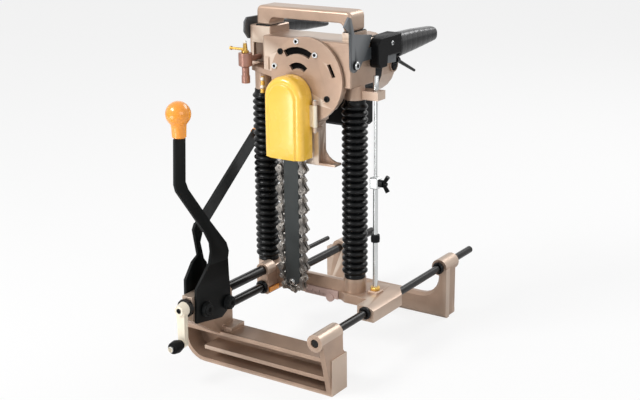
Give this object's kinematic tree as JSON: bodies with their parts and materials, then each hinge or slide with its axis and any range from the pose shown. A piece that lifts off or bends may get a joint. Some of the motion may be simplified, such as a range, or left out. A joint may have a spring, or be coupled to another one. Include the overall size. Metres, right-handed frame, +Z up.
{
  "type": "chain mortiser",
  "caption": "Portable chain mortiser: motor head with a guarded saw chain plunging on two gaitered columns above a clamping base with lead-screw feed and levers.",
  "frame": {"origin": "midway between the two columns, on the carriage's underside that rests on the timber", "axes": "+X to the right along the jaws, +Y away from the operator along the guide rods, +Z up along the columns"},
  "size_m": [0.2378, 0.4464, 0.4195],
  "materials": {
    "bar_steel": "dark steel",
    "black_plastic": "black moulded plastic",
    "black_rubber": "black rubber",
    "black_steel": "black finished steel",
    "brass": "brass",
    "bronze_paint": "bronze paint on cast aluminium, satin",
    "chain_steel": "dark oiled steel",
    "copper_paint": "pinkish enamelled cup",
    "cream_zinc": "pale zinc plate",
    "grey_paint": "dark grey paint",
    "orange_plastic": "glossy orange",
    "steel": "ground steel",
    "winding": "steel core with copper windings",
    "yellow_plastic": "glossy yellow"
  },
  "bodies": {
    "base": {"near_jaw": "bronze_paint", "guide_rod_right": "black_steel", "guide_rod_left": "black_steel", "lever_shaft": "black_steel"},
    "far_jaw_body": {"far_jaw": "bronze_paint", "far_jaw_wiper": "black_rubber"},
    "clamp_lever_body": {"clamp_lever": "black_steel", "clamp_knob": "orange_plastic", "clamp_lever_pin": "black_steel"},
    "lock_lever_body": {"lock_lever": "black_steel", "lock_knob": "orange_plastic"},
    "crank_body": {"lead_screw": "black_steel", "crank_arm": "cream_zinc"},
    "crank_knob_body": {"crank_knob": "black_plastic"},
    "carriage_body": {"carriage": "bronze_paint", "column_left": "steel", "column_right": "steel", "sight_plate": "orange_plastic", "scale_plate": "cream_zinc", "carriage_wiper_left": "black_rubber", "carriage_wiper_right": "black_rubber", "depth_pole": "steel", "depth_pole_nut": "steel", "bellows_left": "black_rubber", "bellows_right": "black_rubber", "return_spring_left": "steel", "return_spring_right": "steel"},
    "depth_stop_body": {"depth_stop": "steel"},
    "depth_screw_body": {"depth_wing_screw": "black_steel"},
    "head_body": {"head_casting": "bronze_paint", "carry_handle": "bronze_paint", "gear_cover": "bronze_paint", "side_plate_left": "grey_paint", "side_plate_right": "grey_paint", "side_bolt_left": "black_steel", "side_bolt_right": "black_steel", "switch_housing": "black_plastic", "right_grip": "black_rubber", "left_grip": "black_rubber", "cord_guard": "black_rubber", "motor_housing": "black_plastic", "motor_cover": "bronze_paint", "brush_cap_left": "black_plastic", "brush_cap_right": "black_plastic", "head_rod_left": "steel", "head_rod_right": "steel", "oiler_cup": "copper_paint", "chip_chute": "bronze_paint", "guide_bar": "bar_steel", "bar_nose_pin": "steel", "saw_chain": "chain_steel", "hinge_pin": "steel", "spindle_bearing": "steel", "motor_bearing": "steel"},
    "chain_cover_body": {"chain_cover": "yellow_plastic"},
    "trigger_body": {"trigger": "grey_paint"},
    "oiler_valve_body": {"oiler_valve": "brass"},
    "spindle_body": {"sprocket_spindle": "chain_steel", "drive_gear": "steel"},
    "armature_body": {"motor_armature": "winding"}
  },
  "joints": [
    {"name": "far_jaw_slide", "type": "slide", "parent": "base", "child": "far_jaw_body", "axis": [0, 1, 0], "range_m": [-0.06, 0.04]},
    {"name": "crank_turn", "type": "hinge", "parent": "base", "child": "crank_body", "pos_m": [-0.051, -0.19, 0.0255], "axis": [0, 1, 0], "range_deg": [-1801, 1801]},
    {"name": "carriage_slide", "type": "slide", "parent": "base", "child": "carriage_body", "axis": [0, 1, 0], "range_m": [-0.015, 0.015]},
    {"name": "crank_knob_spin", "type": "hinge", "parent": "crank_body", "child": "crank_knob_body", "pos_m": [-0.051, -0.203, -0.016], "axis": [0, 1, 0], "continuous": true},
    {"name": "clamp_lever_swing", "type": "hinge", "parent": "base", "child": "clamp_lever_body", "pos_m": [-0.042, -0.16, 0.0185], "axis": [1, 0, 0], "range_deg": [-25, 10]},
    {"name": "lock_lever_swing", "type": "hinge", "parent": "base", "child": "lock_lever_body", "pos_m": [-0.06, -0.16, 0.0185], "axis": [1, 0, 0], "range_deg": [-10, 15]},
    {"name": "head_plunge", "type": "slide", "parent": "carriage_body", "child": "head_body", "axis": [0, 0, 1], "range_m": [-0.093, 0], "stiffness_N_per_m": 350, "springref_m": 0.25, "deforming": ["bellows_left", "bellows_right", "return_spring_left", "return_spring_right"]},
    {"name": "depth_stop_slide", "type": "slide", "parent": "carriage_body", "child": "depth_stop_body", "axis": [0, 0, 1], "range_m": [-0.0565, 0]},
    {"name": "depth_screw_turn", "type": "hinge", "parent": "depth_stop_body", "child": "depth_screw_body", "pos_m": [0.0958, 0.0065, 0.151], "axis": [1, 0, 0], "range_deg": [-90, 90]},
    {"name": "chain_cover_hinge", "type": "hinge", "parent": "head_body", "child": "chain_cover_body", "pos_m": [0.0335, -0.0375, 0.2335], "axis": [0, 0, 1], "range_deg": [0, 110]},
    {"name": "trigger_press", "type": "slide", "parent": "head_body", "child": "trigger_body", "axis": [0, 0, 1], "range_m": [0, 0.004], "stiffness_N_per_m": 400, "springref_m": -0.003},
    {"name": "oiler_valve_turn", "type": "hinge", "parent": "head_body", "child": "oiler_valve_body", "pos_m": [-0.0655, -0.038, 0.3], "axis": [0, 0, 1], "range_deg": [0, 90]},
    {"name": "motor_spin", "type": "hinge", "parent": "head_body", "child": "armature_body", "pos_m": [0.018, 0.05, 0.275], "axis": [0, 1, 0], "continuous": true},
    {"name": "spindle_spin", "type": "hinge", "parent": "head_body", "child": "spindle_body", "pos_m": [0, -0.02, 0.253], "axis": [0, 1, 0], "continuous": true}
  ],
  "couplings": [
    {"joint": "crank_turn", "follows": "carriage_slide", "rad_per_m": 2094.4},
    {"joint": "spindle_spin", "follows": "motor_spin", "ratio": -0.32}
  ]
}
